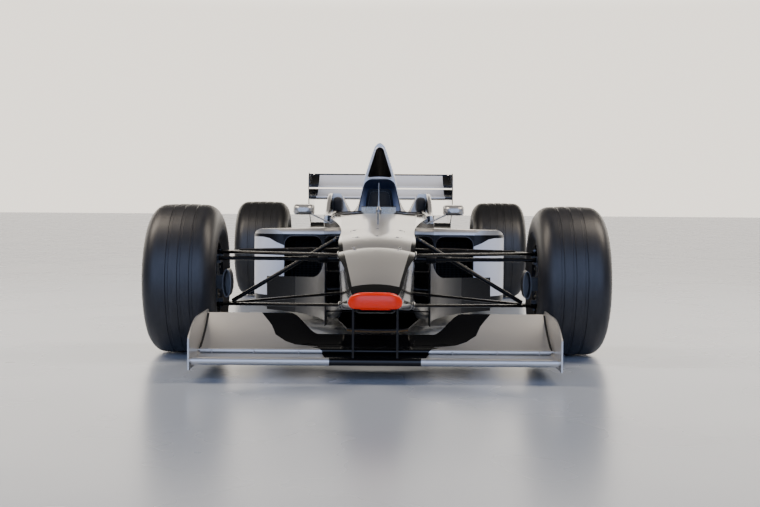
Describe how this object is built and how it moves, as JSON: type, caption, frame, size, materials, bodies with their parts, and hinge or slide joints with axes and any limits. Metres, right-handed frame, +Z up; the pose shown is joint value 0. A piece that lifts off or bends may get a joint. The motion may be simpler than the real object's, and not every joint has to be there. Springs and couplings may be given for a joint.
{
  "type": "open wheel racing car",
  "caption": "Open wheel racing car with slim nose, wide wings, sidepods and a tall air intake. Its wheels turn and its front wheels steer.",
  "frame": {"origin": "on the ground, at the centre of the car's length and width", "axes": "+X to the driver's left, +Y from nose to tail, +Z up; the car faces -Y"},
  "size_m": [2, 4.56, 1.0077],
  "materials": {
    "silver_paint": "metallic lacquer",
    "black_paint": "gloss lacquer",
    "carbon": "bare woven carbon, satin lacquer",
    "clear_screen": "tinted clear sheet",
    "seat_shell": "bare moulded carbon",
    "foam_cover": "woven fire resistant cover",
    "grip": "suede rim and satin centre",
    "steel": "satin machined",
    "cooler_fins": "plain fins",
    "plank_wood": "sanded laminate",
    "engine_metal": "as cast",
    "magnesium": "as cast, oiled",
    "red_lens": "clear red moulding",
    "wheel_metal": "satin anodised",
    "tyre_rubber": "slick rubber"
  },
  "bodies": {
    "chassis": {"monocoque": "silver_paint", "nose_cone": "silver_paint", "engine_cover": "silver_paint", "cockpit_sides": "silver_paint", "sidepod_left": "silver_paint", "sidepod_right": "silver_paint", "front_wing_main": "black_paint", "front_wing_flap": "silver_paint", "front_wing_endplates": "silver_paint", "rear_wing_main": "black_paint", "rear_wing_flap": "black_paint", "rear_beam_wing": "carbon", "rear_wing_endplates": "black_paint", "mirrors": "black_paint", "bargeboards": "carbon", "floor": "carbon", "plank": "plank_wood", "headrest": "foam_cover", "windscreen": "clear_screen", "seat": "seat_shell", "probes": "steel", "radiators": "cooler_fins", "engine": "engine_metal", "gearbox": "magnesium", "rear_impact_structure": "carbon", "rain_light": "red_lens", "front_upper_wishbones": "carbon", "front_lower_wishbones": "carbon", "front_pushrods": "carbon", "rear_uprights": "magnesium", "rear_upper_wishbones": "carbon", "rear_lower_wishbones": "carbon", "rear_pushrods": "carbon"},
    "front_left_upright": {"front_upright_left": "magnesium"},
    "front_right_upright": {"front_upright_right": "magnesium"},
    "front_left_wheel": {"front_wheel_left": "wheel_metal", "front_tyre_left": "tyre_rubber"},
    "front_right_wheel": {"front_wheel_right": "wheel_metal", "front_tyre_right": "tyre_rubber"},
    "rear_left_wheel": {"rear_wheel_left": "wheel_metal", "rear_tyre_left": "tyre_rubber"},
    "rear_right_wheel": {"rear_wheel_right": "wheel_metal", "rear_tyre_right": "tyre_rubber"},
    "steering_rack": {"track_rods": "carbon"},
    "steering_wheel": {"steering_wheel": "grip"}
  },
  "joints": [
    {"name": "steer_left", "type": "hinge", "parent": "chassis", "child": "front_left_upright", "pos_m": [0.7, -1.3, 0.33], "axis": [0, 0, 1], "range_deg": [-14, 14]},
    {"name": "steer_right", "type": "hinge", "parent": "chassis", "child": "front_right_upright", "pos_m": [-0.7, -1.3, 0.33], "axis": [0, 0, 1], "range_deg": [-14, 14]},
    {"name": "rack_slide", "type": "slide", "parent": "chassis", "child": "steering_rack", "axis": [1, 0, 0], "range_m": [-0.022, 0.022]},
    {"name": "column_turn", "type": "hinge", "parent": "chassis", "child": "steering_wheel", "pos_m": [0, -0.31, 0.505], "axis": [0, 1, 0], "range_deg": [-126, 126]},
    {"name": "front_left_spin", "type": "hinge", "parent": "front_left_upright", "child": "front_left_wheel", "pos_m": [0.843, -1.3, 0.33], "axis": [1, 0, 0], "continuous": true},
    {"name": "front_right_spin", "type": "hinge", "parent": "front_right_upright", "child": "front_right_wheel", "pos_m": [-0.843, -1.3, 0.33], "axis": [1, 0, 0], "continuous": true},
    {"name": "rear_left_spin", "type": "hinge", "parent": "chassis", "child": "rear_left_wheel", "pos_m": [0.82, 1.8, 0.33], "axis": [1, 0, 0], "continuous": true},
    {"name": "rear_right_spin", "type": "hinge", "parent": "chassis", "child": "rear_right_wheel", "pos_m": [-0.82, 1.8, 0.33], "axis": [1, 0, 0], "continuous": true}
  ],
  "couplings": [
    {"joint": "steer_right", "follows": "steer_left", "ratio": 1},
    {"joint": "rack_slide", "follows": "steer_left", "m_per_rad": 0.088},
    {"joint": "column_turn", "follows": "steer_left", "ratio": 9}
  ]
}
